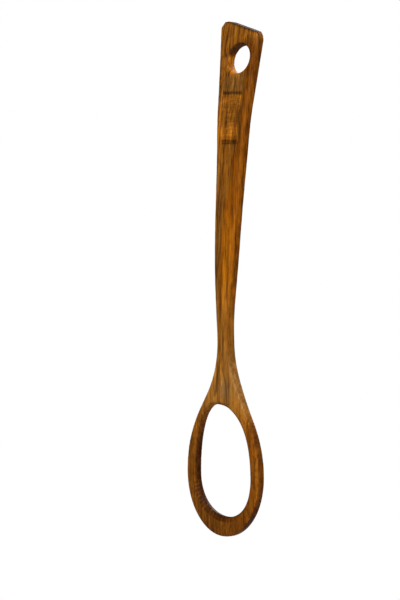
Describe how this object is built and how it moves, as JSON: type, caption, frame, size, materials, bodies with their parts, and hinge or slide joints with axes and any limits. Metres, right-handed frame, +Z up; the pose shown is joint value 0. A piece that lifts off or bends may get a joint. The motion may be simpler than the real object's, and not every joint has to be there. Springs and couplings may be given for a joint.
{
  "type": "wooden mixing spoon",
  "caption": "Long wooden mixing spoon carved in one piece, with an open ring for a bowl, a slim neck and a slanted, widened handle end with a hanging hole.",
  "frame": {"origin": "centre of the hanging hole, halfway through the wood", "axes": "+Z up along the spoon towards the slanted handle end; the front, with the label panel and the scooped shoulder, faces -Y; +X is to the right seen from the front"},
  "size_m": [0.0614, 0.0225, 0.3098],
  "materials": {
    "oiled_hardwood": "satin, hand-oiled"
  },
  "bodies": {
    "root": {"spoon": "oiled_hardwood"}
  },
  "joints": []
}
